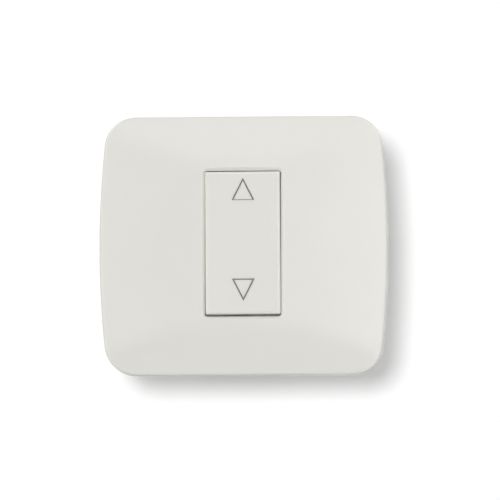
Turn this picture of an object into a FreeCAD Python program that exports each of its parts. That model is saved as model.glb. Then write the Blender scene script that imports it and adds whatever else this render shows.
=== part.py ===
import FreeCAD, Part
import os
from math import cos, hypot, radians, sin, sqrt

# A flush switch for a motor-driven roller shutter, in millimetres.
# The wall is the plane y = 0, the room is towards -Y, the wall box towards +Y, and +Z is up.
# The origin lies on the wall, midway between the two box screws.

# Cover plate
plate_side_overhang = 9.5   # beyond the mounting frame, at the middle of the bowed sides
plate_end_overhang = 6.0    # beyond the mounting frame, above and below
plate_depth = 9.4           # from the wall to the crest of the face
plate_wall = 2.0
side_bow = 2.8              # from the middle of a side to the line of its ends
plate_corner_radius = 10.0
side_depth = 4.85           # of the face where the crown reaches the sides
band_radius = 110.0         # the sloped bands above and below the key are slightly convex
edge_depth = 3.1            # of the bands at the top and bottom edge
crease_radius = 20.0        # softens the line where the crown meets a band
rim_radius = 1.2
bevel_width = 1.35          # of the chamfer round the key's opening
bevel_depth = 1.0
opening_corner_radius = 0.9
collar_clearance = 0.3      # from the opening's collar to the module flange

# Snap hooks of the cover plate
hook_spacing_x = 54.0
hook_spacing_z = 34.0
hook_thickness = 1.4
hook_length_z = 6.0
hook_nib = 0.7
hook_nib_height = 1.4
hook_clearance = 0.3
hook_tip_gap = 0.7          # from the hook's tip to the wall

# Key cap
key_width = 23.6
key_height = 45.0
key_proud = 0.8             # how far its face stands ahead of the plate's crest
key_side_gap = 0.15
key_end_gap = 0.5
key_wall = 1.5
key_floor_clearance = 0.33  # from the pressed end of the cap to the module flange
key_edge_radius = 0.9
key_corner_radius = 0.6
key_skew = 0.2              # degrees that the cap sits turned in its opening
key_rise = 0.14             # that it sits above the opening's middle
cap_nib = 0.6
cap_nib_length = 5.0
cap_nib_height = 0.6
cap_nib_spacing = 24.0
key_swing = 3.5             # degrees each way

# Key carrier
carrier_play = 0.3          # all round inside the cap
carrier_face_gap = 0.1
carrier_thickness = 1.5
carrier_rib = 1.2
carrier_rib_depth = 1.3
hub_height = 7.2
pin_radius = 1.2
pin_clearance = 0.05
ear_wall = 0.8
ear_thickness = 1.8
ear_gap = 0.2
pin_end_play = 0.4
pin_end_gap = 1.2           # from a pin's end to the wall of the module frame's well

# Plunger and its spring
guide_length = 7.9          # from the pivot to the open end of the post
guide_wall = 0.85
plunger_radius = 2.5
plunger_clearance = 0.05
plunger_wall = 0.6
plunger_length = 7.9
plunger_overlap = 4.0       # length that stays inside the post
plunger_tip_radius = 1.3
spring_wire_radius = 0.2
spring_clearance = 0.25     # from the coil to the plunger's bore
spring_seat_gap = 0.05
spring_turns = 8
spring_floor = 0.6          # from the pivot to the bottom of the post's bore

# Contact rocker
rocker_length = 22.4
rocker_width = 5.0
rocker_thickness = 0.8
rocker_ratio = 2.0          # its swing for each degree of the key's
trough_width = 6.4
trough_depth = 1.0
trough_clearance = 0.25     # from the plunger's tip to the trough
saddle_thickness = 0.95
saddle_width = 3.8
fulcrum_radius = 1.0
fulcrum_clearance = 0.05

# Contacts and strips
contact_spacing = 19.0
contact_radius = 1.5
contact_height = 0.8
contact_dome = 0.25
contact_gap_closed = 0.1
strip_thickness = 0.8
strip_width = 3.6
strip_gap = 1.2             # from the fulcrum's axis to the strips
cheek_gap = 0.3
cheek_thickness = 0.8
base_height = 6.4
pad_width = 5.2
pad_height = 3.8

# Pillar terminals
terminal_side_gap = 0.65    # to the housing's side and to its partition
terminal_height = 6.4
terminal_depth = 7.8
terminal_play = 0.2
terminal_edge = 0.4
wire_bore_radius = 1.75
wire_bore_edge = 0.35       # brass left between the wire bore and the block's inner side
grub_radius = 1.5
grub_clearance = 0.05
grub_bite = 0.15
grub_head_radius = 1.9
grub_head_height = 1.0
grub_slot_width = 0.6
grub_slot_depth = 0.5

# Module frame
module_width = 23.8         # of the window that the module is pushed into
module_height = 45.2
module_play = 0.2
flange_lip_side = 0.6
flange_lip_end = 1.9
flange_thickness = 2.2
flange_corner_radius = 1.2
skirt_wall = 1.2
skirt_depth = 1.8           # behind the wall plane
floor_thickness = 1.2
floor_slot_width = 8.8
floor_slot_height = 11.0
tongue_width = 10.0
tongue_spacing = 26.0
tongue_reach = 4.4          # behind the skirt
tongue_window_width = 6.0
tongue_window_height = 2.0
tongue_window_inset = 1.2
catch_width = 8.0
catch_height = 0.8
catch_nib = 0.6
catch_clearance = 0.1

# Housing
housing_play = 0.1
housing_wall = 1.3
housing_floor = 1.5
housing_corner_radius = 1.0
housing_nib = 0.8
partition_thickness = 2.4
rear_play = 0.5
wire_entry_radius = 1.9
wire_entry_chamfer = 0.5
driver_hole_radius = 2.3

# Mounting frame
frame_web = 2.0
frame_rib = 0.8             # height of its ribs ahead of the web
frame_rib_width = 1.6
frame_corner_radius = 6.0
window_corner_radius = 0.8
box_screw_spacing = 60.0
box_slot_length = 9.0
box_slot_radius = 2.7
spare_slot_length = 7.0
spare_slot_radius = 1.8
slot_margin = 1.5           # of the web outside each screw slot
catch_boss_height = 4.0
catch_boss_wall = 1.6
catch_ledge = 1.6           # thickness of the ledge that a snap hook grips

# Box screws
box_screw_radius = 1.5
box_screw_length = 18.0     # behind the wall plane
box_screw_tip = 1.0
box_screw_head_radius = 3.5
box_screw_head_height = 1.9
box_screw_slot_width = 0.9
box_screw_slot_depth = 1.0

# Sizes and places that follow from those
frame_width = box_screw_spacing + box_slot_length + 2 * slot_margin
frame_height = box_screw_spacing + spare_slot_length + 2 * slot_margin
plate_width = frame_width + 2 * plate_side_overhang
plate_height = frame_height + 2 * plate_end_overhang
side_bow_radius = ((plate_height / 2) ** 2 + side_bow ** 2) / (2 * side_bow)
crown_fall = plate_depth - side_depth
crown_radius = ((plate_width / 2) ** 2 + crown_fall ** 2) / (2 * crown_fall)
opening_width = key_width + 2 * key_side_gap
opening_height = key_height + 2 * key_end_gap
collar_width = opening_width + 2 * bevel_width
collar_height = opening_height + 2 * bevel_width
crease_z = collar_height / 2
crest_y = -plate_depth
flange_front_y = -frame_web - flange_thickness
collar_back_y = flange_front_y - collar_clearance

key_front_y = crest_y - key_proud
key_travel = (key_height / 2 + key_rise) * sin(radians(key_swing))
key_back_y = flange_front_y - key_travel - key_floor_clearance
carrier_front_y = key_front_y + key_wall + carrier_face_gap
carrier_back_y = carrier_front_y + carrier_thickness
carrier_width = key_width - 2 * (key_wall + carrier_play)
carrier_height = key_height - 2 * (key_wall + carrier_play)
ear_radius = pin_radius + pin_clearance + ear_wall
pivot_y = carrier_back_y + ear_gap + ear_radius

guide_bore = plunger_radius + plunger_clearance
guide_radius = guide_bore + guide_wall
guide_end_y = pivot_y + guide_length
spring_floor_y = pivot_y - spring_floor
plunger_back_y = guide_end_y - plunger_overlap
plunger_tip_y = plunger_back_y + plunger_length
plunger_bore = plunger_radius - plunger_wall
plunger_shoulder_y = guide_end_y + spring_floor
plunger_seat_y = plunger_shoulder_y - plunger_wall
spring_radius = plunger_bore - spring_clearance - spring_wire_radius

trough_y = plunger_tip_y + trough_clearance
arm_front_y = trough_y - trough_depth
arm_back_y = arm_front_y + rocker_thickness
fulcrum_y = trough_y + saddle_thickness + fulcrum_clearance + fulcrum_radius
strip_front_y = fulcrum_y + strip_gap
strip_back_y = strip_front_y + strip_thickness
rocker_swing = key_swing * rocker_ratio
contact_z = contact_spacing / 2
moving_contact_y = arm_back_y + contact_height
contact_reach = (contact_z + contact_radius) * sin(radians(rocker_swing))
contact_rise = (fulcrum_y - moving_contact_y) * cos(radians(rocker_swing))
fixed_contact_y = fulcrum_y + contact_reach - contact_rise + contact_gap_closed

skirt_width = module_width - 2 * module_play
skirt_height = module_height - 2 * module_play
well_width = skirt_width - 2 * skirt_wall
well_height = skirt_height - 2 * skirt_wall
pin_end_x = well_width / 2 - pin_end_gap
ear_outer_x = pin_end_x - pin_end_play
ear_inner_x = ear_outer_x - ear_thickness
hub_width = 2 * (ear_inner_x - ear_gap)
housing_width = well_width - 2 * housing_play
housing_height = well_height - 2 * housing_play
chamber_width = housing_width - 2 * housing_wall
chamber_height = housing_height - 2 * housing_wall
housing_front_y = housing_play
terminal_width = (chamber_width - partition_thickness) / 2 - 2 * terminal_side_gap
terminal_x = (chamber_width + partition_thickness) / 4
terminal_back_y = strip_back_y + terminal_depth
terminal_outer_z = chamber_height / 2 - terminal_play
terminal_inner_z = terminal_outer_z - terminal_height
wire_z = terminal_inner_z + wire_bore_edge + wire_bore_radius
grub_y = (strip_back_y + terminal_back_y) / 2
chamber_back_y = terminal_back_y + rear_play
housing_back_y = chamber_back_y + housing_floor
tongue_back_y = skirt_depth + tongue_reach
tongue_window_y = tongue_back_y - tongue_window_inset - tongue_window_height

hook_x = hook_spacing_x / 2
hook_z = hook_spacing_z / 2
ledge_back_y = -catch_boss_height + catch_ledge
hook_catch_y = ledge_back_y + hook_clearance


def point(x, y, z):
    return FreeCAD.Vector(x, y, z)


def block(x, y, z):
    """A plain block between a low and a high value on each axis."""
    return Part.makeBox(x[1] - x[0], y[1] - y[0], z[1] - z[0], point(x[0], y[0], z[0]))


def rod(radius, start, end):
    """A round bar from one point to another."""
    return Part.makeCylinder(radius, (end - start).Length, start, end - start)


def fuse(first, *others):
    """Joins solids into one and merges the faces that run on."""
    return first.fuse(list(others)).removeSplitter()


def rounded_slab(width, height, front, back, corner):
    """A slab parallel to the wall, centred on the origin's axis, with rounded corners."""
    slab = block((-width / 2, width / 2), (front, back), (-height / 2, height / 2))
    corners = [edge for edge in slab.Edges if edge.BoundBox.YLength > (back - front) / 2]
    return slab.makeFillet(corner, corners)


def rounded_outline(width, height, y, corner):
    """The outline of such a slab at one distance from the wall."""
    slab = rounded_slab(width, height, y, y + 1, corner)
    return min(slab.Faces, key=lambda face: face.CenterOfMass.y).OuterWire


def slot_cutter(x, z, length, radius, front, back, upright=False):
    """A round-ended slot through whatever lies between two distances from the wall."""
    half = length / 2 - radius
    reach_x = 0 if upright else half
    reach_z = half if upright else 0
    ends = [
        rod(radius, point(x + side * reach_x, front, z + side * reach_z),
            point(x + side * reach_x, back, z + side * reach_z))
        for side in (-1, 1)
    ]
    wide = radius if upright else half
    tall = half if upright else radius
    middle = block((x - wide, x + wide), (front, back), (z - tall, z + tall))
    return fuse(middle, *ends)


def four_corners(x, z):
    return [(side * x, end * z) for side in (-1, 1) for end in (-1, 1)]


def mirrored(shape, x=1, z=1):
    """A copy of a shape reflected to the other side, the other end or both."""
    copy = shape
    if x < 0:
        copy = copy.mirror(point(0, 0, 0), point(1, 0, 0))
    if z < 0:
        copy = copy.mirror(point(0, 0, 0), point(0, 0, 1))
    return copy


# The cover plate's face is where three large cylinders meet: an upright one for the crown and
# a level one for each sloped band. Every radius less the wall gives the inside, so the wall is even.

def band_centre():
    """The level axis, as (y, z), of the cylinder through the crease and the top edge."""
    rise = plate_height / 2 - crease_z
    fall = plate_depth - edge_depth
    chord = hypot(rise, fall)
    inward = sqrt(band_radius ** 2 - (chord / 2) ** 2)
    y = -(plate_depth + edge_depth) / 2 + inward * rise / chord
    z = (crease_z + plate_height / 2) / 2 - inward * fall / chord
    return y, z


def pillow(inset):
    """The cushion form of the face, made smaller all round by the inset."""
    half_width = plate_width / 2
    half_height = plate_height / 2
    span = plate_width
    crown_y = crest_y + crown_radius
    crown = rod(crown_radius - inset, point(0, crown_y, -half_height), point(0, crown_y, half_height))
    form = block((-span / 2, span / 2), (crest_y, 0), (-half_height, half_height)).common(crown)
    y, z = band_centre()
    band = rod(band_radius - inset, point(-span, y, z), point(span, y, z))
    above_band = block((-span, span), (2 * crest_y, 0), (crease_z / 2, half_height)).cut(band)
    form = form.cut(above_band).cut(mirrored(above_band, z=-1))
    creases = [
        edge for edge in form.Edges
        if edge.BoundBox.XLength > span / 2 and abs(edge.CenterOfMass.z) < half_height - edge_depth
        and edge.BoundBox.YMax < -edge_depth / 2
    ]
    form = form.makeFillet(crease_radius - inset, creases)
    return form.common(bowed_outline(inset, half_width, half_height))


def bowed_outline(inset, half_width, half_height):
    """The plate's outline: level top and bottom, bowed sides and rounded corners."""
    outline = block(
        (-half_width + inset, half_width - inset), (crest_y - 1, 0),
        (-half_height + inset, half_height - inset))
    for side in (-1, 1):
        x = side * (half_width - side_bow_radius)
        outline = outline.common(rod(side_bow_radius - inset, point(x, crest_y - 1, 0), point(x, 0, 0)))
    corners = [
        edge for edge in outline.Edges
        if edge.BoundBox.YLength > plate_depth and abs(edge.CenterOfMass.z) > half_height / 2
    ]
    return outline.makeFillet(plate_corner_radius - inset, corners)


def snap_hook():
    """One hook leg of the cover plate, with the nib that grips the mounting frame."""
    outer = hook_x + hook_thickness / 2
    legs = block(
        (outer - hook_thickness, outer), (crest_y, -hook_tip_gap),
        (hook_z - hook_length_z / 2, hook_z + hook_length_z / 2))
    low = point(outer, hook_catch_y, hook_z - hook_length_z / 2)
    nib = Part.Face(Part.makePolygon([
        low,
        low + point(hook_nib, 0, 0),
        low + point(hook_nib, hook_nib_height / 3, 0),
        low + point(0, hook_nib_height, 0),
        low,
    ])).extrude(point(0, 0, hook_length_z))
    return fuse(legs, nib)


def cover_plate():
    """The whole cover, moulded in one piece: face, collar round the key and four hooks."""
    outer = pillow(0)
    rim = [
        edge for edge in outer.Edges
        if edge.BoundBox.YMax < -rim_radius
        and edge.distToShape(bowed_outline(
            rim_radius, plate_width / 2, plate_height / 2))[0] > rim_radius / 2
    ]
    outer = outer.makeFillet(rim_radius, rim)
    collar = rounded_slab(
        collar_width, collar_height, crest_y, collar_back_y, opening_corner_radius + bevel_width)
    hooks = [mirrored(snap_hook(), x, z) for x, z in four_corners(1, 1)]
    fittings = [fitting.common(pillow(plate_wall / 2)) for fitting in [collar] + hooks]
    shell = outer.cut(pillow(plate_wall))
    cover = fuse(shell, *fittings)
    opening = rounded_slab(opening_width, opening_height, crest_y - 1, 0, opening_corner_radius)
    bevel = Part.makeLoft([
        rounded_outline(collar_width, collar_height, crest_y, opening_corner_radius + bevel_width),
        rounded_outline(opening_width, opening_height, crest_y + bevel_depth, opening_corner_radius),
    ], True, True)
    return cover.cut(opening).cut(bevel)


def key_cap():
    """The key's face: a shallow tray with rounded edges and four inner nibs, turned a little."""
    tray = rounded_slab(key_width, key_height, key_front_y, key_back_y, key_corner_radius)
    front = [edge for edge in tray.Edges if edge.BoundBox.YMax < key_front_y + key_wall / 2]
    tray = tray.makeFillet(key_edge_radius, front)
    inner_x = key_width / 2 - key_wall
    inner_z = key_height / 2 - key_wall
    hollow = block((-inner_x, inner_x), (key_front_y + key_wall, key_back_y), (-inner_z, inner_z))
    tray = tray.cut(hollow)
    nibs = []
    for side, end in four_corners(1, 1):
        middle = end * cap_nib_spacing / 2
        profile = Part.Face(Part.makePolygon([
            point(side * inner_x, key_back_y - cap_nib_height, middle - cap_nib_length / 2),
            point(side * (inner_x - cap_nib), key_back_y - cap_nib_height, middle - cap_nib_length / 2),
            point(side * inner_x, key_back_y, middle - cap_nib_length / 2),
            point(side * inner_x, key_back_y - cap_nib_height, middle - cap_nib_length / 2),
        ]))
        nibs.append(profile.extrude(point(0, 0, cap_nib_length)))
    cap = fuse(tray, *nibs)
    cap.rotate(point(0, 0, 0), point(0, -1, 0), key_skew)
    cap.translate(point(0, 0, key_rise))
    return cap


def key_carrier():
    """The rocker under the cap: a ribbed plate, a hub with two pivot pins and the plunger's post."""
    half_x = carrier_width / 2
    half_z = carrier_height / 2
    plate = block((-half_x, half_x), (carrier_front_y, carrier_back_y), (-half_z, half_z))
    rib_x = hub_width / 2 - carrier_rib
    ribs = [
        block((side * rib_x - carrier_rib / 2, side * rib_x + carrier_rib / 2),
              (carrier_back_y, carrier_back_y + carrier_rib_depth), (-half_z, half_z))
        for side in (-1, 1)
    ]
    hub = block(
        (-hub_width / 2, hub_width / 2), (carrier_back_y, pivot_y + ear_radius),
        (-hub_height / 2, hub_height / 2))
    post = rod(guide_radius, point(0, pivot_y, 0), point(0, guide_end_y, 0))
    pins = rod(pin_radius, point(-pin_end_x, pivot_y, 0), point(pin_end_x, pivot_y, 0))
    bore = rod(guide_bore, point(0, spring_floor_y, 0), point(0, guide_end_y, 0))
    return fuse(plate, hub, post, pins, *ribs).cut(bore)


def plunger():
    """A hollow pin with a stepped, rounded nose that slides in the carrier's post."""
    nose_y = plunger_tip_y - plunger_tip_radius
    profile = [
        point(0, plunger_seat_y, 0),
        point(plunger_bore, plunger_seat_y, 0),
        point(plunger_bore, plunger_back_y, 0),
        point(plunger_radius, plunger_back_y, 0),
        point(plunger_radius, plunger_shoulder_y, 0),
        point(plunger_tip_radius, plunger_shoulder_y + plunger_radius - plunger_tip_radius, 0),
        point(plunger_tip_radius, nose_y, 0),
    ]
    edges = [Part.LineSegment(a, b).toShape() for a, b in zip(profile, profile[1:])]
    half = plunger_tip_radius * sqrt(0.5)
    tip = point(0, plunger_tip_y, 0)
    edges.append(Part.Arc(profile[-1], point(half, nose_y + half, 0), tip).toShape())
    edges.append(Part.LineSegment(tip, profile[0]).toShape())
    return Part.Face(Part.Wire(edges)).revolve(point(0, 0, 0), point(0, 1, 0), 360)


def plunger_spring():
    """A coil spring from the bottom of the post's bore to the plunger's seat."""
    start_y = spring_floor_y + spring_seat_gap + spring_wire_radius
    length = plunger_seat_y - spring_seat_gap - spring_wire_radius - start_y
    coil = Part.makeHelix(length / spring_turns, length, spring_radius)
    section = Part.Wire(Part.Circle(
        point(spring_radius, 0, 0), point(0, 1, 0), spring_wire_radius).toShape())
    spring = Part.Wire(coil.Edges).makePipeShell([section], True, True)
    spring.rotate(point(0, 0, 0), point(1, 0, 0), -90)
    spring.translate(point(0, start_y, 0))
    return spring


def contact_rocker():
    """A brass seesaw: two arms, a trough for the plunger in front and a saddle on the fulcrum behind."""
    front = [
        point(0, arm_front_y, rocker_length / 2),
        point(0, arm_front_y, trough_width / 2),
        point(0, trough_y, 0),
        point(0, arm_front_y, -trough_width / 2),
        point(0, arm_front_y, -rocker_length / 2),
    ]
    back = [
        point(0, arm_back_y, -rocker_length / 2),
        point(0, arm_back_y, -saddle_width / 2 - rocker_thickness),
        point(0, trough_y + rocker_thickness, -saddle_width / 2),
        point(0, fulcrum_y, -saddle_width / 2),
        point(0, fulcrum_y, saddle_width / 2),
        point(0, trough_y + rocker_thickness, saddle_width / 2),
        point(0, arm_back_y, saddle_width / 2 + rocker_thickness),
        point(0, arm_back_y, rocker_length / 2),
    ]
    section = Part.Face(Part.makePolygon(front + back + [front[0]]))
    section.translate(point(-rocker_width / 2, 0, 0))
    seesaw = section.extrude(point(rocker_width, 0, 0))
    pin = rod(
        fulcrum_radius + fulcrum_clearance,
        point(-rocker_width, fulcrum_y, 0), point(rocker_width, fulcrum_y, 0))
    return seesaw.cut(pin)


def contact_rivet(z, base_y, face_y):
    """A silver contact: a short cylinder with a domed face, from its carrier to its face."""
    way = 1 if face_y > base_y else -1
    shoulder = abs(face_y - base_y) - contact_dome
    dome_radius = (contact_radius ** 2 + contact_dome ** 2) / (2 * contact_dome)
    stem = rod(contact_radius, point(0, base_y, z), point(0, face_y, z))
    ball = Part.makeSphere(dome_radius, point(0, face_y - way * dome_radius, z))
    flat = rod(contact_radius, point(0, base_y, z), point(0, base_y + way * shoulder, z))
    return fuse(flat, stem.common(ball))


def common_strip():
    """The common conductor: a base with two cheeks that hold the fulcrum pin, and a long side strip."""
    cheek_inner = rocker_width / 2 + cheek_gap
    cheek_outer = cheek_inner + cheek_thickness
    strip_outer = terminal_x + strip_width / 2
    half_base = base_height / 2
    base = block((-cheek_outer, strip_outer), (strip_front_y, strip_back_y), (-half_base, half_base))
    strip = block(
        (terminal_x - strip_width / 2, strip_outer), (strip_front_y, strip_back_y),
        (-terminal_outer_z, terminal_outer_z))
    pin = rod(fulcrum_radius, point(-cheek_outer, fulcrum_y, 0), point(cheek_outer, fulcrum_y, 0))
    cheeks = []
    for side in (-1, 1):
        inner, outer = sorted((side * cheek_inner, side * cheek_outer))
        upright = block(
            (inner, outer), (fulcrum_y, strip_front_y), (-2 * fulcrum_radius, 2 * fulcrum_radius))
        eye = rod(2 * fulcrum_radius, point(inner, fulcrum_y, 0), point(outer, fulcrum_y, 0))
        cheeks.append(upright)
        cheeks.append(eye)
    return fuse(base, strip, pin, *cheeks)


def contact_strip(end):
    """The conductor from one fixed contact to its own terminal, at the upper or the lower end."""
    inner_x = -terminal_x - strip_width / 2
    pad = block(
        (inner_x, pad_width / 2), (strip_front_y, strip_back_y),
        (contact_z - pad_height / 2, contact_z + pad_height / 2))
    strip = block(
        (inner_x, -terminal_x + strip_width / 2), (strip_front_y, strip_back_y),
        (contact_z - pad_height / 2, terminal_outer_z))
    return mirrored(fuse(pad, strip), z=end)


def terminal(side, end):
    """A brass pillar terminal: a block with a wire bore and a crossing hole for its grub screw."""
    brass = block(
        (terminal_x - terminal_width / 2, terminal_x + terminal_width / 2),
        (strip_back_y, terminal_back_y), (terminal_inner_z, terminal_outer_z))
    back = [edge for edge in brass.Edges if edge.BoundBox.YMin > terminal_back_y - terminal_edge]
    brass = brass.makeChamfer(terminal_edge, back)
    bore = rod(
        wire_bore_radius, point(terminal_x, strip_back_y, wire_z), point(terminal_x, terminal_back_y, wire_z))
    hole = rod(
        grub_radius + grub_clearance,
        point(terminal_x, grub_y, wire_z), point(terminal_x, grub_y, terminal_outer_z))
    return mirrored(brass.cut(bore).cut(hole), side, end)


def terminal_screw(side, end):
    """The slotted screw that presses the wire in its terminal."""
    tip_z = wire_z + wire_bore_radius + grub_bite
    seat_z = terminal_outer_z
    top_z = seat_z + grub_head_height
    shank = rod(grub_radius, point(terminal_x, grub_y, tip_z), point(terminal_x, grub_y, seat_z))
    head = rod(grub_head_radius, point(terminal_x, grub_y, seat_z), point(terminal_x, grub_y, top_z))
    slot = block(
        (terminal_x - grub_head_radius, terminal_x + grub_head_radius),
        (grub_y - grub_slot_width / 2, grub_y + grub_slot_width / 2), (top_z - grub_slot_depth, top_z))
    return mirrored(fuse(shank, head).cut(slot), side, end)


def mechanism_frame():
    """The module's front frame: flange, skirt, floor, two ears for the key's pivot and four tongues."""
    flange = rounded_slab(
        module_width + 2 * flange_lip_side, module_height + 2 * flange_lip_end,
        flange_front_y, -frame_web, flange_corner_radius)
    skirt = rounded_slab(
        skirt_width, skirt_height, -frame_web, skirt_depth, window_corner_radius - module_play)
    well_x = (-well_width / 2, well_width / 2)
    well_z = (-well_height / 2, well_height / 2)
    front_well = block(well_x, (flange_front_y, -floor_thickness), well_z)
    rear_well = block(well_x, (0, skirt_depth), well_z)
    frame = fuse(flange, skirt).cut(front_well).cut(rear_well)
    slot = block(
        (-floor_slot_width / 2, floor_slot_width / 2), (-floor_thickness, 0),
        (-floor_slot_height / 2, floor_slot_height / 2))
    frame = frame.cut(slot)
    additions = []
    for side in (-1, 1):
        inner, outer = sorted((side * ear_inner_x, side * ear_outer_x))
        upright = block((inner, outer), (pivot_y, -floor_thickness), (-ear_radius, ear_radius))
        crown = rod(ear_radius, point(inner, pivot_y, 0), point(outer, pivot_y, 0))
        hole = rod(pin_radius + pin_clearance, point(inner, pivot_y, 0), point(outer, pivot_y, 0))
        additions.append(fuse(upright, crown).cut(hole))
    for side, end in four_corners(1, 1):
        inner, outer = sorted((side * well_width / 2, side * skirt_width / 2))
        middle = end * tongue_spacing / 2
        tongue = block(
            (inner, outer), (skirt_depth, tongue_back_y),
            (middle - tongue_width / 2, middle + tongue_width / 2))
        window = block(
            (inner, outer), (tongue_window_y, tongue_window_y + tongue_window_height),
            (middle - tongue_window_width / 2, middle + tongue_window_width / 2))
        additions.append(tongue.cut(window))
    for end in (-1, 1):
        z = skirt_height / 2
        nib = Part.Face(Part.makePolygon([
            point(-catch_width / 2, -catch_height - catch_clearance, z),
            point(-catch_width / 2, -catch_height - catch_clearance, z + catch_nib + module_play),
            point(-catch_width / 2, -catch_clearance, z),
            point(-catch_width / 2, -catch_height - catch_clearance, z),
        ])).extrude(point(catch_width, 0, 0))
        additions.append(mirrored(nib, z=end))
    return fuse(frame, *additions)


def mechanism_housing():
    """The case behind the frame, with a partition, wire entries behind and screwdriver holes at the ends."""
    half_x = housing_width / 2
    half_z = housing_height / 2
    case = rounded_slab(
        housing_width, housing_height, housing_front_y, housing_back_y, housing_corner_radius)
    chamber = block(
        (-chamber_width / 2, chamber_width / 2), (housing_front_y, chamber_back_y),
        (-chamber_height / 2, chamber_height / 2))
    case = case.cut(chamber)
    partition = block(
        (-partition_thickness / 2, partition_thickness / 2), (strip_back_y, chamber_back_y),
        (-chamber_height / 2, chamber_height / 2))
    additions = [partition]
    for side, end in four_corners(1, 1):
        middle = end * tongue_spacing / 2
        width = tongue_window_width - 2 * catch_clearance
        start = tongue_window_y + catch_clearance
        nib = Part.Face(Part.makePolygon([
            point(side * half_x, start, middle - width / 2),
            point(side * (half_x + housing_nib), start + tongue_window_height / 2, middle - width / 2),
            point(side * (half_x + housing_nib), start + tongue_window_height - 2 * catch_clearance,
                  middle - width / 2),
            point(side * half_x, start + tongue_window_height - 2 * catch_clearance, middle - width / 2),
            point(side * half_x, start, middle - width / 2),
        ])).extrude(point(0, 0, width))
        additions.append(nib)
    case = fuse(case, *additions)
    for x, z in four_corners(terminal_x, wire_z):
        entry = rod(wire_entry_radius, point(x, chamber_back_y, z), point(x, housing_back_y, z))
        lead_in = Part.makeCone(
            wire_entry_radius + wire_entry_chamfer, wire_entry_radius, wire_entry_chamfer,
            point(x, housing_back_y, z), point(0, -1, 0))
        case = case.cut(fuse(entry, lead_in))
    for x, end in four_corners(terminal_x, 1):
        hole = rod(
            driver_hole_radius, point(x, grub_y, end * chamber_height / 2), point(x, grub_y, end * half_z))
        case = case.cut(hole)
    return case


def mounting_frame():
    """The frame on the wall: ribbed web, window for the module, screw slots and four catches."""
    rib_y = -frame_web - frame_rib
    web = rounded_slab(frame_width, frame_height, -frame_web, 0, frame_corner_radius)
    border = rounded_slab(frame_width, frame_height, rib_y, -frame_web, frame_corner_radius)
    border = border.cut(rounded_slab(
        frame_width - 2 * frame_rib_width, frame_height - 2 * frame_rib_width,
        rib_y, -frame_web, frame_corner_radius - frame_rib_width))
    seat_width = module_width + 2 * (flange_lip_side + module_play)
    seat_height = module_height + 2 * (flange_lip_end + module_play)
    surround = rounded_slab(
        seat_width + 2 * frame_rib_width, seat_height + 2 * frame_rib_width,
        rib_y, -frame_web, flange_corner_radius + frame_rib_width)
    surround = surround.cut(rounded_slab(
        seat_width, seat_height, rib_y, -frame_web, flange_corner_radius))
    boss_x = hook_thickness + hook_nib + hook_clearance + 2 * catch_boss_wall
    boss_z = hook_length_z + 2 * (hook_clearance + catch_boss_wall)
    inner = hook_x - hook_thickness / 2 - hook_clearance - catch_boss_wall
    boss = block(
        (inner, inner + boss_x + hook_clearance), (-catch_boss_height, -frame_web),
        (hook_z - boss_z / 2, hook_z + boss_z / 2))
    frame = fuse(web, border, surround, *[mirrored(boss, x, z) for x, z in four_corners(1, 1)])
    frame = frame.cut(rounded_slab(module_width, module_height, rib_y, 0, window_corner_radius))
    leg_x = (hook_x - hook_thickness / 2 - hook_clearance, hook_x + hook_thickness / 2 + hook_clearance)
    leg_z = (hook_z - hook_length_z / 2 - hook_clearance, hook_z + hook_length_z / 2 + hook_clearance)
    throat = block(leg_x, (-catch_boss_height, 0), leg_z)
    undercut = block((leg_x[0], leg_x[1] + hook_nib), (ledge_back_y, 0), leg_z)
    for x, z in four_corners(1, 1):
        frame = frame.cut(mirrored(throat, x, z)).cut(mirrored(undercut, x, z))
    relief = block(
        (-catch_width / 2 - catch_clearance, catch_width / 2 + catch_clearance),
        (-catch_height - 2 * catch_clearance, 0),
        (module_height / 2, module_height / 2 + catch_nib + catch_clearance))
    for end in (-1, 1):
        frame = frame.cut(mirrored(relief, z=end))
        frame = frame.cut(slot_cutter(
            end * box_screw_spacing / 2, 0, box_slot_length, box_slot_radius, rib_y, 0))
        frame = frame.cut(slot_cutter(
            0, end * box_screw_spacing / 2, spare_slot_length, spare_slot_radius, rib_y, 0, upright=True))
    return frame


def box_screw(side):
    """A box screw: slotted pan head on the mounting frame, shank through its slot."""
    x = side * box_screw_spacing / 2
    seat_y = -frame_web
    shank = rod(box_screw_radius, point(x, seat_y, 0), point(x, box_screw_length - box_screw_tip, 0))
    tip = Part.makeCone(
        box_screw_radius, box_screw_radius / 2, box_screw_tip,
        point(x, box_screw_length - box_screw_tip, 0), point(0, 1, 0))
    top_y = seat_y - box_screw_head_height
    head = rod(box_screw_head_radius, point(x, top_y, 0), point(x, seat_y, 0))
    crown = [edge for edge in head.Edges if edge.BoundBox.YMax < top_y + box_screw_head_height / 2]
    head = head.makeFillet(box_screw_head_height / 2, crown)
    slot = block(
        (x - box_screw_head_radius, x + box_screw_head_radius), (top_y, top_y + box_screw_slot_depth),
        (-box_screw_slot_width / 2, box_screw_slot_width / 2))
    return fuse(head, shank, tip).cut(slot)


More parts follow.
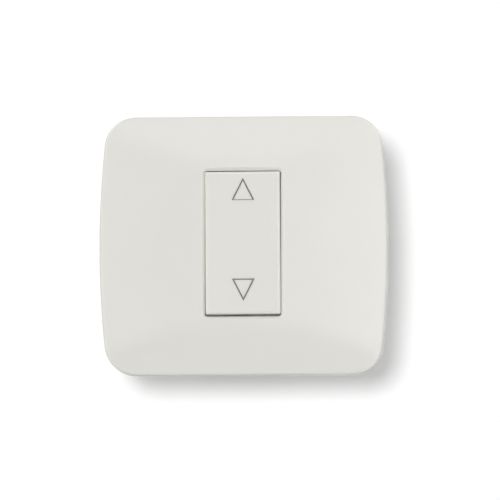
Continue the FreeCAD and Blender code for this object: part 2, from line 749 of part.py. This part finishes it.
pieces = {
    "cover_plate": cover_plate(),
    "mounting_frame": mounting_frame(),
    "box_screw_left": box_screw(-1),
    "box_screw_right": box_screw(1),
    "mechanism_frame": mechanism_frame(),
    "mechanism_housing": mechanism_housing(),
    "key_cap": key_cap(),
    "key_carrier": key_carrier(),
    "plunger": plunger(),
    "plunger_spring": plunger_spring(),
    "contact_rocker": contact_rocker(),
    "moving_contact_down": contact_rivet(contact_z, arm_back_y, moving_contact_y),
    "moving_contact_up": contact_rivet(-contact_z, arm_back_y, moving_contact_y),
    "common_strip": common_strip(),
    "down_strip": contact_strip(1),
    "up_strip": contact_strip(-1),
    "fixed_contact_down": contact_rivet(contact_z, strip_front_y, fixed_contact_y),
    "fixed_contact_up": contact_rivet(-contact_z, strip_front_y, fixed_contact_y),
    "terminal_down": terminal(-1, 1),
    "terminal_up": terminal(-1, -1),
    "terminal_common_top": terminal(1, 1),
    "terminal_common_bottom": terminal(1, -1),
    "terminal_screw_down": terminal_screw(-1, 1),
    "terminal_screw_up": terminal_screw(-1, -1),
    "terminal_screw_common_top": terminal_screw(1, 1),
    "terminal_screw_common_bottom": terminal_screw(1, -1),
}

os.makedirs("parts", exist_ok=True)
for name, shape in pieces.items():
    solid = shape.Solids[0] if len(shape.Solids) == 1 else shape
    solid.exportStep(f"parts/{name}.step")
    print(name, len(shape.Solids), round(shape.Volume, 2), shape.isValid())
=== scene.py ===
import math

import bmesh
import bpy
from mathutils import Matrix, Vector


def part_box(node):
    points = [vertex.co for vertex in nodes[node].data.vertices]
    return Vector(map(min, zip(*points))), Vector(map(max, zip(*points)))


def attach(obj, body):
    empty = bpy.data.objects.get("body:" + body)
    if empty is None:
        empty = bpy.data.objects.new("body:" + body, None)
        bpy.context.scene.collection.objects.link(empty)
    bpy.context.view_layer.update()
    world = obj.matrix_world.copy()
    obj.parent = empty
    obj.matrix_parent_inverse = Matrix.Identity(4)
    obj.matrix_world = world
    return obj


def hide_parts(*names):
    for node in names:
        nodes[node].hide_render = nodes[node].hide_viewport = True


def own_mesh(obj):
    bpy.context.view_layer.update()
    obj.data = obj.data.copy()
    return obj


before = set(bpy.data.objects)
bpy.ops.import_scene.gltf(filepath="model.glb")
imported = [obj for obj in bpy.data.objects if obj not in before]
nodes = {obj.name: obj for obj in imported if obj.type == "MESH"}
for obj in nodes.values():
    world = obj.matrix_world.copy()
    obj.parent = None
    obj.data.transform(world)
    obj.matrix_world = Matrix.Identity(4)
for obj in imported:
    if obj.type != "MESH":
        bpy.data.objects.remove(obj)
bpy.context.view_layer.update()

scene = bpy.context.scene
scene.view_settings.view_transform = "Standard"

# The camera. It looks at the switch almost square on, a little from the right and from below,
# through a long lens, so the plate's edges stay nearly parallel as they do in the photograph.
camera_distance = 1.4
camera_azimuth = math.radians(2.5)
camera_elevation = math.radians(-6.0)
camera_roll = math.radians(-0.1)
view_width = 0.1573                      # across the picture, at the plate
aim = Vector((0.00206, -0.0050, -0.0017))
sensor = 36.0
nearest_seen = 0.01

away = Vector((
    math.sin(camera_azimuth) * math.cos(camera_elevation),
    -math.cos(camera_azimuth) * math.cos(camera_elevation),
    math.sin(camera_elevation),
))
lens = bpy.data.cameras.new("camera")
lens.sensor_width = sensor
lens.lens = sensor * camera_distance / view_width
lens.clip_start = nearest_seen
camera = bpy.data.objects.new("camera", lens)
scene.collection.objects.link(camera)
camera.location = aim + away * camera_distance
turn = away.to_track_quat("Z", "Y").to_matrix().to_4x4()
camera.rotation_euler = (turn @ Matrix.Rotation(camera_roll, 4, "Z")).to_euler()
scene.camera = camera


# The room: one sheet of matt white paper, an upright backdrop close behind the switch that bends
# into the floor. Only the camera sees it, and only from its front, so it shades nothing.
backdrop_y = 0.030                       # behind the wall plane
floor_z = -0.36
cove_radius = 0.16
cove_half_width = 1.6
cove_height = 1.6
cove_reach = 1.9                         # of the floor, towards the room
cove_steps = 16
paper_lift = 0.12                        # plain white added to what the camera sees of it
floor_lift = 0.30                        # and more of it where the paper lies level


def linear(hex_colour):
    """An sRGB hex colour as the linear colour that a shader takes."""
    parts = [int(hex_colour[i:i + 2], 16) / 255 for i in (1, 3, 5)]
    return tuple([c / 12.92 if c <= 0.04045 else ((c + 0.055) / 1.055) ** 2.4 for c in parts] + [1.0])


def new_material(name):
    """An empty node material, ready for its nodes."""
    material = bpy.data.materials.new(name)
    material.use_nodes = True
    material.node_tree.nodes.clear()
    return material


def add(material, kind, inputs=None, **settings):
    """Adds a node. An input is a value, or a pair of a node and its output's name or number."""
    node = material.node_tree.nodes.new(kind)
    for name, value in settings.items():
        setattr(node, name, value)
    for name, value in (inputs or {}).items():
        if isinstance(value, tuple) and isinstance(value[0], bpy.types.Node):
            material.node_tree.links.new(value[0].outputs[value[1]], node.inputs[name])
        else:
            node.inputs[name].default_value = value
    return node


def new_piece(name, shape):
    """A finished bmesh as an object of that name."""
    mesh = bpy.data.meshes.new(name)
    shape.to_mesh(mesh)
    shape.free()
    piece = bpy.data.objects.new(name, mesh)
    scene.collection.objects.link(piece)
    return piece


shape = bmesh.new()
bend = [math.pi / 2 * i / cove_steps for i in range(cove_steps + 1)]
corner = [
    Vector((0, backdrop_y - cove_radius * (1 - math.cos(a)), floor_z + cove_radius * (1 - math.sin(a))))
    for a in bend
]
profile = [Vector((0, backdrop_y, cove_height))] + corner + [Vector((0, -cove_reach, floor_z))]
line = [shape.verts.new(p + Vector((cove_half_width, 0, 0))) for p in profile]
runs = [shape.edges.new(pair) for pair in zip(line, line[1:])]
swept = bmesh.ops.extrude_edge_only(shape, edges=runs)["geom"]
far_side = [v for v in swept if isinstance(v, bmesh.types.BMVert)]
bmesh.ops.translate(shape, verts=far_side, vec=(-2 * cove_half_width, 0, 0))
bmesh.ops.recalc_face_normals(shape, faces=shape.faces)
shape.faces.ensure_lookup_table()
if shape.faces[0].normal.y > 0:
    bmesh.ops.reverse_faces(shape, faces=shape.faces)
cove = new_piece("cove", shape)
cove.data.shade_smooth()
cove.visible_diffuse = False
cove.visible_glossy = False
cove.visible_transmission = False
cove.visible_shadow = False

# Matt white paper: even and without a sheen, so that it shows only the soft shadow.
paper = new_material("white_paper")
light_path = add(paper, "ShaderNodeLightPath")
side = add(paper, "ShaderNodeNewGeometry")
level_part = add(paper, "ShaderNodeSeparateXYZ", {0: (side, "Normal")})
lift = add(paper, "ShaderNodeMapRange", {
    "Value": (level_part, "Z"), "To Min": paper_lift, "To Max": paper_lift + floor_lift})
seen_lift = add(paper, "ShaderNodeMath", {
    0: (light_path, "Is Camera Ray"), 1: (lift, 0)}, operation="MULTIPLY")
glow = add(paper, "ShaderNodeEmission", {"Color": linear("#FFFFFF"), "Strength": (seen_lift, 0)})
matt = add(paper, "ShaderNodeBsdfDiffuse", {"Color": linear("#F4F4F4")})
both = add(paper, "ShaderNodeAddShader", {0: (matt, 0), 1: (glow, 0)})
clear = add(paper, "ShaderNodeBsdfTransparent")
one_sided = add(paper, "ShaderNodeMixShader", {0: (side, "Backfacing"), 1: (both, 0), 2: (clear, 0)})
add(paper, "ShaderNodeOutputMaterial", {"Surface": (one_sided, 0)})
cove.data.materials.append(paper)


# The light: an even white room, a broad lamp ahead of the plate whose soft shadow falls to the
# lower right, and one behind for the side in the wall box. The gloss mirrors white screens that
# stand to the left and right of the room, over it and under it, each as bright as its stop says.
room_overhead = 0.48
room_underfoot = 0.40
front_level = 0.56
front_left = math.radians(8.0)
front_up = math.radians(4.0)
lamp_spread = math.radians(15.7)
back_level = 0.5
back_way = (0.25, 1, 0.5)
plain_white = 1.0                        # the room as the camera sees it
brightest = 5.0                          # of a screen, at the full value of its ramp
across = (                               # left to right: the place along X and the level there
    (-1.0, 1.0), (-0.95, 1.6), (-0.75, 1.4), (-0.45, 0.5), (-0.14, 0.2), (-0.03, 1.0), (0.1, 1.1),
    (0.41, 3.4), (0.6, 3.1), (0.8, 2.6), (0.9, 2.0), (0.95, 1.3), (0.985, 1.0), (1.0, 1.0))
across_behind = ((-1.0, 1.1), (0.2, 0.7), (0.5, 1.7), (1.0, 1.7))    # the same, behind the wall
upright = (                              # from under the room to over it, along Z
    (-1.0, 0.4), (-0.92, 0.9), (-0.7, 0.9), (-0.45, 0.1), (-0.1, 0.4), (0.3, 0.4), (0.6, 1.1),
    (0.82, 1.7), (0.97, 0.4), (1.0, 0.4))
shared_level = 0.4                       # counted in both directions, so it is taken off once
behind_start = 0.3                       # along Y, where the screens behind begin
behind_full = 0.65                       # and where there are no others

world = bpy.data.worlds.new("white_room")
world.use_nodes = True
world.node_tree.nodes.clear()
scene.world = world
path = add(world, "ShaderNodeLightPath")
direction = add(world, "ShaderNodeTexCoord")
way = add(world, "ShaderNodeSeparateXYZ", {0: (direction, "Generated")})
soft = add(world, "ShaderNodeMapRange", {
    "Value": (way, "Z"), "From Min": -1.0, "To Min": room_underfoot, "To Max": room_overhead})


def screens(axis, stops):
    """The level of the screens along one axis of the direction, from -1 to 1."""
    place = add(world, "ShaderNodeMapRange", {"Value": (way, axis), "From Min": -1.0})
    ramp = add(world, "ShaderNodeValToRGB", {"Fac": (place, 0)})
    points = ramp.color_ramp.elements
    for (spot, level), point in zip((stops[0], stops[-1]), points):
        point.position = (spot + 1) / 2
        point.color = [level / brightest] * 3 + [1.0]
    for spot, level in stops[1:-1]:
        points.new((spot + 1) / 2).color = [level / brightest] * 3 + [1.0]
    return add(world, "ShaderNodeMath", {0: (ramp, 0), 1: brightest}, operation="MULTIPLY")


behind = add(world, "ShaderNodeMapRange", {
    "Value": (way, "Y"), "From Min": behind_start, "From Max": behind_full})
sideways = add(world, "ShaderNodeMix", {
    0: (behind, 0), 2: (screens("X", across), 0), 3: (screens("X", across_behind), 0)})
both_ways = add(world, "ShaderNodeMath", {0: (sideways, 0), 1: (screens("Z", upright), 0)})
mirrored = add(world, "ShaderNodeMath", {0: (both_ways, 0), 1: shared_level}, operation="SUBTRACT")
lit = add(world, "ShaderNodeMix", {0: (path, "Is Glossy Ray"), 2: (soft, 0), 3: (mirrored, 0)})
seen_plain = add(world, "ShaderNodeMath", {
    0: (path, "Is Camera Ray"), 1: (path, "Is Transmission Ray")}, operation="MAXIMUM")
room_level = add(world, "ShaderNodeMix", {0: (seen_plain, 0), 2: (lit, 0), 3: plain_white})
white = add(world, "ShaderNodeBackground", {"Color": linear("#FFFFFF"), "Strength": (room_level, 0)})
add(world, "ShaderNodeOutputWorld", {"Surface": (white, 0)})


def broad_lamp(name, level, spread, towards):
    """A distant lamp that gives a plain white surface facing it that level."""
    light = bpy.data.lights.new(name, "SUN")
    light.energy = level * math.pi
    light.angle = spread
    lamp = bpy.data.objects.new(name, light)
    scene.collection.objects.link(lamp)
    lamp.rotation_euler = Vector(towards).to_track_quat("Z", "Y").to_euler()
    lamp.visible_glossy = False


broad_lamp("front_lamp", front_level, lamp_spread, (-math.tan(front_left), -1, math.tan(front_up)))
broad_lamp("back_lamp", back_level, lamp_spread, back_way)


# Mounting frame: a ribbed web injection moulded in light grey flame-retardant PC/ABS. Its tool was
# spark eroded, so it has a fine even grain. The box screws hold it on the wall box.
gap_reach = 0.0020                       # how near a facing wall must be for the painted gap shade
gap_rays = 8
gap_deep = 0.05                          # share of open space round a point deep in a gap, where the painted shade is full
gap_open = 0.35                          # and round one that gets no painted gap shade
drawn_wall_roughness = 0.55              # side walls that a tool slides along aren't polished


def moulded_plastic(
        name, colours, roughness, grain_mm, grain_depth_mm, mottle_mm=18.0, spread=0.04, milky=0.0,
        painted_gap_shade=None):
    """Moulded thermoplastic: a colour that drifts a little, a surface grain and uneven gloss. A
    milky one lets light in, and a painted gap shade is a warmer, darker colour painted where near walls
    close in."""
    plastic = new_material(name)
    place = add(plastic, "ShaderNodeTexCoord")
    drift = add(plastic, "ShaderNodeTexNoise", {
        "Vector": (place, "Object"), "Scale": 1000 / mottle_mm, "Detail": 2.0, "Roughness": 0.5})
    colour = add(plastic, "ShaderNodeMix", {
        0: (drift, 0), 6: linear(colours[0]), 7: linear(colours[1])}, data_type="RGBA")
    # Painted shade: where near walls occlude a point, its colour turns to the warmer, darker gap colour.
    if painted_gap_shade:
        gap_occlusion = add(plastic, "ShaderNodeAmbientOcclusion", {"Distance": gap_reach}, samples=gap_rays)
        unshaded_share = add(plastic, "ShaderNodeMapRange", {
            "Value": (gap_occlusion, "AO"), "From Min": gap_deep, "From Max": gap_open})
        colour = add(plastic, "ShaderNodeMix", {
            0: (unshaded_share, 0), 6: linear(painted_gap_shade), 7: (colour, 2)}, data_type="RGBA")
    grain = add(plastic, "ShaderNodeTexNoise", {
        "Vector": (place, "Object"), "Scale": 1000 / grain_mm, "Detail": 3.0, "Roughness": 0.55})
    bump = add(plastic, "ShaderNodeBump", {"Height": (grain, 0), "Distance": grain_depth_mm / 1000})
    sheen = add(plastic, "ShaderNodeMapRange", {
        "Value": (grain, 0), "To Min": roughness - spread, "To Max": roughness + spread})
    if painted_gap_shade:
        sheen = add(plastic, "ShaderNodeMix", {0: (unshaded_share, 0), 2: drawn_wall_roughness, 3: (sheen, 0)})
    shader = add(plastic, "ShaderNodeBsdfPrincipled", {
        "Base Color": (colour, 2), "Roughness": (sheen, 0), "IOR": 1.5, "Normal": (bump, 0),
        "Subsurface Weight": milky, "Subsurface Radius": (1, 1, 1), "Subsurface Scale": 0.0008})
    add(plastic, "ShaderNodeOutputMaterial", {"Surface": (shader, 0)})
    return plastic


def dress(material, *names):
    """Gives CAD nodes their material."""
    for name in names:
        slots = nodes[name].data.materials
        slots.clear()
        slots.append(material)


# Spark eroded plastic is dull and faintly speckled. The real grain is about 0.1 mm, and is drawn
# coarser here, as on the other matt pieces, so that it shows.
dress(moulded_plastic(
    "spark_eroded_grey_plastic", ("#BFC0BD", "#CBCCC9"), roughness=0.52, grain_mm=0.6,
    grain_depth_mm=0.030), "mounting_frame")


# Box screws and terminal screws: slotted screws, cold headed and thread rolled from steel wire, then
# zinc plated and blue passivated. Two coarse ones hold the frame in the plastic wall box, and four
# fine ones, M3, press the wires in their terminals.
def worked_metal(name, colours, roughness, mark_mm, mark_depth_mm, tone_mm=6.0, spread=0.08):
    """Worked metal: marks with a size along X, Y and Z, a tone that drifts and gloss that goes with both."""
    metal = new_material(name)
    place = add(metal, "ShaderNodeTexCoord")
    laid = add(metal, "ShaderNodeMapping", {
        "Vector": (place, "Object"), "Scale": [1000 / size for size in mark_mm]})
    marks = add(metal, "ShaderNodeTexNoise", {"Vector": (laid, 0), "Scale": 1.0, "Detail": 3.0})
    tone = add(metal, "ShaderNodeTexNoise", {
        "Vector": (place, "Object"), "Scale": 1000 / tone_mm, "Detail": 3.0, "Roughness": 0.6})
    colour = add(metal, "ShaderNodeMix", {
        0: (tone, 0), 6: linear(colours[0]), 7: linear(colours[1])}, data_type="RGBA")
    bump = add(metal, "ShaderNodeBump", {"Height": (marks, 0), "Distance": mark_depth_mm / 1000})
    uneven = add(metal, "ShaderNodeMath", {0: (marks, 0), 1: (tone, 0)}, operation="MULTIPLY")
    sheen = add(metal, "ShaderNodeMapRange", {
        "Value": (uneven, 0), "From Max": 0.5, "To Min": roughness - spread, "To Max": roughness + spread})
    shader = add(metal, "ShaderNodeBsdfPrincipled", {
        "Base Color": (colour, 2), "Metallic": 1.0, "Roughness": (sheen, 0), "Normal": (bump, 0)})
    add(metal, "ShaderNodeOutputMaterial", {"Surface": (shader, 0)})
    return metal


coarse_thread = {
    "radius": 0.0015, "depth": 0.00042, "pitch": 0.0011, "crest": 0.00006, "foot": 0.00050, "tip": 0.0016}
fine_thread = {
    "radius": 0.0015, "depth": 0.00031, "pitch": 0.0005, "crest": 0.00006, "foot": 0.00044, "tip": 0.0003}
pan_head = {
    "radius": 0.0035, "height": 0.0019, "crown": 0.00095, "slot_width": 0.0009, "slot_depth": 0.0010}
cheese_head = {
    "radius": 0.0019, "height": 0.0010, "crown": 0.00018, "slot_width": 0.0006, "slot_depth": 0.0005}
round_steps = 48
crown_steps = 6
spare_turns = 2                          # spun beyond each end of the shank, and cut off
nose_share = 0.4                         # of the thread's width, where the tip ends
head_overlap = 0.25                      # of the head's height, where the shank runs on into it
weld_share = 0.01                        # of the pitch, within which the turns are joined
same_point = 1e-7
same_plane = 1e-6
sharp_edge = math.radians(28)            # edges less sharp than this are shaded round


def threaded_shank(shape, thread, start, end):
    """A rolled thread from a helical spin, cut level at both ends and closed by a cone at its tip."""
    crest = thread["radius"]
    root = crest - thread["depth"]
    pitch = thread["pitch"]
    low = start - spare_turns * pitch
    foot = thread["foot"] / 2
    half_crest = thread["crest"] / 2
    profile = [(root, -foot), (crest, -half_crest), (crest, half_crest), (root, foot), (root, pitch - foot)]
    verts = [shape.verts.new((r, 0, low + z)) for r, z in profile]
    edges = [shape.edges.new(pair) for pair in zip(verts, verts[1:])]
    turns = math.ceil((end - start) / pitch) + 2 * spare_turns
    bmesh.ops.spin(
        shape, geom=verts + edges, cent=(0, 0, 0), axis=(0, 0, 1), angle=2 * math.pi * turns,
        steps=round_steps * turns, dvec=(0, 0, pitch / round_steps))
    bmesh.ops.remove_doubles(shape, verts=shape.verts, dist=pitch * weld_share)
    for z, outwards in ((start, -1), (end, 1)):
        bmesh.ops.bisect_plane(
            shape, geom=shape.verts[:] + shape.edges[:] + shape.faces[:], dist=same_point,
            plane_co=(0, 0, z), plane_no=(0, 0, outwards), clear_outer=True)
        rim = [e for e in shape.edges
               if e.is_boundary and all(abs(v.co.z - z) < same_plane for v in e.verts)]
        if outwards > 0:
            rim = bmesh.ops.extrude_edge_only(shape, edges=rim)["geom"]
            nose = [v for v in rim if isinstance(v, bmesh.types.BMVert)]
            bmesh.ops.scale(shape, verts=nose, vec=(nose_share, nose_share, 1))
            bmesh.ops.translate(shape, verts=nose, vec=(0, 0, thread["tip"]))
            rim = [e for e in rim if isinstance(e, bmesh.types.BMEdge) and e.is_boundary]
        bmesh.ops.edgeloop_fill(shape, edges=rim)


def slotted_head(shape, radius, height, crown, slot_width, slot_depth):
    """A head on the plane z = 0, towards -Z, with a rounded crown and a screwdriver slot."""
    arc = [math.pi / 2 * i / crown_steps for i in range(crown_steps + 1)]
    profile = [(0, 0), (radius, 0)] + [
        (radius - crown * (1 - math.cos(a)), -height + crown * (1 - math.sin(a))) for a in arc
    ] + [(0, -height)]
    verts = [shape.verts.new((r, 0, z)) for r, z in profile]
    edges = [shape.edges.new(pair) for pair in zip(verts, verts[1:])]
    bmesh.ops.spin(
        shape, geom=verts + edges, cent=(0, 0, 0), axis=(0, 0, 1), angle=2 * math.pi,
        steps=round_steps, use_merge=True)
    bmesh.ops.remove_doubles(shape, verts=shape.verts, dist=same_point)
    floor = -height + slot_depth
    half = slot_width / 2
    slot_planes = (((0, half, 0), (0, 1, 0)), ((0, -half, 0), (0, 1, 0)), ((0, 0, floor), (0, 0, 1)))
    for spot, normal in slot_planes:
        bmesh.ops.bisect_plane(
            shape, geom=shape.verts[:] + shape.edges[:] + shape.faces[:], dist=same_point,
            plane_co=spot, plane_no=normal)
    gone = [f for f in shape.faces
            if abs(f.calc_center_median().y) < half and f.calc_center_median().z < floor]
    bmesh.ops.delete(shape, geom=gone, context="FACES")
    walls = [e for e in shape.edges if e.is_boundary]
    for side in (-1, 1):
        wall = [e for e in walls if all(abs(v.co.y - side * half) < same_point for v in e.verts)]
        ends = [v for e in wall for v in e.verts if sum(v in other.verts for other in wall) == 1]
        wall.append(shape.edges.new(ends))
        bmesh.ops.edgeloop_fill(shape, edges=wall)
    bmesh.ops.edgeloop_fill(shape, edges=[e for e in shape.edges if e.is_boundary])


def slotted_screw(node, place, reach, head, thread):
    """Stands for a CAD screw: its seat at the given place, its tip towards +Z before it is turned."""
    shape = bmesh.new()
    slotted_head(shape, **head)
    shank = bmesh.new()
    threaded_shank(shank, thread, -head["height"] * head_overlap, reach - thread["tip"])
    mesh = bpy.data.meshes.new("shank")
    shank.to_mesh(mesh)
    shank.free()
    shape.from_mesh(mesh)
    bpy.data.meshes.remove(mesh)
    bmesh.ops.recalc_face_normals(shape, faces=shape.faces)
    bmesh.ops.transform(shape, matrix=place, verts=shape.verts)
    screw = new_piece(node + "_threaded", shape)
    screw.data.shade_smooth()
    screw.data.set_sharp_from_angle(angle=sharp_edge)
    screw.data.materials.append(zinc)
    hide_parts(node)
    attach(screw, "root")


# Blue passivated zinc has a cool grey sheen with warmer patches. Its patches are drawn coarser too.
zinc = worked_metal(
    "blue_zinc_plated_steel", ("#9DA2A9", "#B3B2AC"), roughness=0.34, mark_mm=(0.4, 0.4, 0.4),
    mark_depth_mm=0.004)
for node in ("box_screw_left", "box_screw_right"):
    low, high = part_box(node)
    seat = Vector(((low.x + high.x) / 2, low.y + pan_head["height"], (low.z + high.z) / 2))
    into_wall = Matrix.Translation(seat) @ Matrix.Rotation(-math.pi / 2, 4, "X")
    slotted_screw(node, into_wall, high.y - seat.y, pan_head, coarse_thread)
for node in ("terminal_screw_down", "terminal_screw_up", "terminal_screw_common_top",
             "terminal_screw_common_bottom"):
    low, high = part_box(node)
    above = low.z > 0
    seat_z = high.z - cheese_head["height"] if above else low.z + cheese_head["height"]
    seat = Vector(((low.x + high.x) / 2, (low.y + high.y) / 2, seat_z))
    inwards = Matrix.Translation(seat) @ Matrix.Rotation(math.pi if above else 0, 4, "X")
    slotted_screw(node, inwards, high.z - low.z - cheese_head["height"], cheese_head, fine_thread)


# Module housing: the case behind the frame, injection moulded in dark grey glass-filled polyamide,
# which is a little drier and rougher than the frame's plastic. It clips in the module frame's tongues.
dress(moulded_plastic(
    "glass_filled_dark_polyamide", ("#36383B", "#494B4F"), roughness=0.5, grain_mm=0.6,
    grain_depth_mm=0.045, mottle_mm=3.0, spread=0.1), "mechanism_housing")


# Conductors: the seesaw and its strips are stamped from cold-rolled brass, which shows fine rolling
# lines up and down the strip and a slightly warmer tarnish in patches.
stamped_brass = worked_metal(
    "cold_rolled_brass", ("#C99E4E", "#D8B568"), roughness=0.3, mark_mm=(0.06, 0.06, 3.0),
    mark_depth_mm=0.002)
dress(stamped_brass, "contact_rocker", "common_strip", "down_strip", "up_strip")


# Contacts: rivets of fine-grained silver alloy, pressed in the seesaw and the two strips, with heads
# burnished by use to a soft grey sheen.
silver = worked_metal(
    "silver_alloy", ("#C9C8C4", "#DAD9D6"), roughness=0.34, mark_mm=(0.15, 0.15, 0.15),
    mark_depth_mm=0.003, tone_mm=2.0)
dress(silver, "moving_contact_down", "moving_contact_up", "fixed_contact_down", "fixed_contact_up")


# Terminals: pillars sawn from extruded brass bar, drilled and tapped, with bright fine cutting marks
# across them. They stand in the corners of the housing, each on the end of a strip.
sawn_brass = worked_metal(
    "sawn_brass_bar", ("#D0A95A", "#DDBC72"), roughness=0.26, mark_mm=(2.0, 0.12, 0.12),
    mark_depth_mm=0.003)
dress(sawn_brass, "terminal_down", "terminal_up", "terminal_common_top", "terminal_common_bottom")


# Module frame: flange, well and pivot ears in one moulding of white PC, satin from a fine blasted
# tool. It is pushed into the mounting frame's window from the front and clicks in.
dress(moulded_plastic(
    "blasted_white_plastic", ("#D9D9D4", "#E0E0DB"), roughness=0.42, grain_mm=0.25,
    grain_depth_mm=0.006), "mechanism_frame")


# Key carrier and plunger: the carrier, moulded in satin white PC, turns on its own two pins. The
# plunger slides in its hollow post and is natural acetal, which is slightly waxy.
dress(moulded_plastic(
    "satin_white_plastic", ("#D3D3CE", "#DBDBD6"), roughness=0.4, grain_mm=0.3, grain_depth_mm=0.005),
    "key_carrier")
dress(moulded_plastic(
    "natural_acetal", ("#ECEAE2", "#F2F0E9"), roughness=0.3, grain_mm=0.8, grain_depth_mm=0.002),
    "plunger")


# Drawn wire is a darker steel with a fine streaked sheen.
spring_wire = worked_metal(
    "drawn_spring_wire", ("#808285", "#959698"), roughness=0.3, mark_mm=(0.05, 0.4, 0.05),
    mark_depth_mm=0.002, tone_mm=1.5)
shape = bmesh.new()
shape.from_mesh(nodes["plunger_spring"].data)
bmesh.ops.remove_doubles(shape, verts=shape.verts, dist=same_point)
coil = new_piece("plunger_spring_coil", shape)
loose_normals = coil.data.attributes.get("custom_normal")
if loose_normals:                        # these fit the triangles only while they are loose
    coil.data.attributes.remove(loose_normals)
coil.data.shade_smooth()
coil.data.set_sharp_from_angle(angle=sharp_edge)
coil.data.materials.append(spring_wire)
low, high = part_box("plunger_spring")
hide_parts("plunger_spring")
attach(coil, "key")
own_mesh(coil)


# Key cap: the face that is pressed, moulded in the cover's own warm white from a polished tool, and
# snapped on the carrier. Two outlined triangles are pad printed on it in thin taupe ink.
warm_white = ("#E4E3DE", "#E6E5E0")
# painted shade for the gaps round the key: a warmer, darker white where near walls close in
painted_gap_shade_colour = "#E4D4B8"
key_skew = math.radians(0.2)             # the cap and its print sit turned in the opening
mark_width = 0.0071
mark_height = 0.0070
mark_line = 0.00042                      # of the two slanting sides
up_base_line = 0.00018                   # of the level sides, which came out thinner in the print
down_base_line = 0.00036
mark_x = 0.00013                         # from the middle of the key
up_base = 0.01357
down_base = -0.01124
ink_height = 0.00001
ink_patch_mm = 0.25

# The key's gaps get painted shade in the warmer, darker gap colour.
dress(moulded_plastic(
    "polished_key_plastic", warm_white, roughness=0.24, grain_mm=1.2, grain_depth_mm=0.0012,
    milky=1.0, painted_gap_shade=painted_gap_shade_colour), "key_cap")

# Pad printed ink is a thin satin film, a little uneven where the soft pad left it.
ink = new_material("taupe_pad_print_ink")
ink_place = add(ink, "ShaderNodeTexCoord")
ink_patches = add(ink, "ShaderNodeTexNoise", {
    "Vector": (ink_place, "Object"), "Scale": 1000 / ink_patch_mm, "Detail": 2.0})
ink_colour = add(ink, "ShaderNodeMix", {
    0: (ink_patches, 0), 6: linear("#6A6055"), 7: linear("#857A6E")}, data_type="RGBA")
ink_bump = add(ink, "ShaderNodeBump", {"Height": (ink_patches, 0), "Distance": 0.000002})
ink_shader = add(ink, "ShaderNodeBsdfPrincipled", {
    "Base Color": (ink_colour, 2), "Roughness": 0.45, "Normal": (ink_bump, 0)})
add(ink, "ShaderNodeOutputMaterial", {"Surface": (ink_shader, 0)})

key_face_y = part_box("key_cap")[0].y
shape = bmesh.new()
for base, upwards, base_line in ((up_base, 1, up_base_line), (down_base, -1, down_base_line)):
    corners = [
        (mark_x - mark_width / 2, base),
        (mark_x + mark_width / 2, base),
        (mark_x, base + upwards * mark_height),
    ]
    verts = [shape.verts.new((x, key_face_y, z)) for x, z in corners]
    face = shape.faces.new(verts)
    face.normal_update()
    bmesh.ops.inset_individual(shape, faces=[face], thickness=mark_line, use_even_offset=True)
    thinner = mark_line - base_line
    for vert in [v for v in face.verts if abs(v.co.z - base) < mark_height / 2]:
        outward = math.copysign(thinner * mark_width / 2 / mark_height, vert.co.x - mark_x)
        bmesh.ops.translate(shape, verts=[vert], vec=(outward, 0, -upwards * thinner))
    bmesh.ops.delete(shape, geom=[face], context="FACES_ONLY")
printed = bmesh.ops.extrude_face_region(shape, geom=shape.faces[:])["geom"]
raised = [v for v in printed if isinstance(v, bmesh.types.BMVert)]
bmesh.ops.translate(shape, verts=raised, vec=(0, -ink_height, 0))
bmesh.ops.recalc_face_normals(shape, faces=shape.faces)
bmesh.ops.rotate(shape, verts=shape.verts, matrix=Matrix.Rotation(-key_skew, 3, "Y"))
marks = new_piece("key_marks", shape)
marks.data.materials.append(ink)
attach(marks, "key")


# Cover plate: the cushion-shaped cover, injection moulded in warm white PC from a polished tool, so
# it is glossy with the faintest orange peel. Four hooks snap it on the mounting frame.
# The cover's opening gets the same painted gap shade.
dress(moulded_plastic(
    "polished_warm_white_plastic", warm_white, roughness=0.2, grain_mm=1.6, grain_depth_mm=0.0012,
    milky=1.0, painted_gap_shade=painted_gap_shade_colour), "cover_plate")
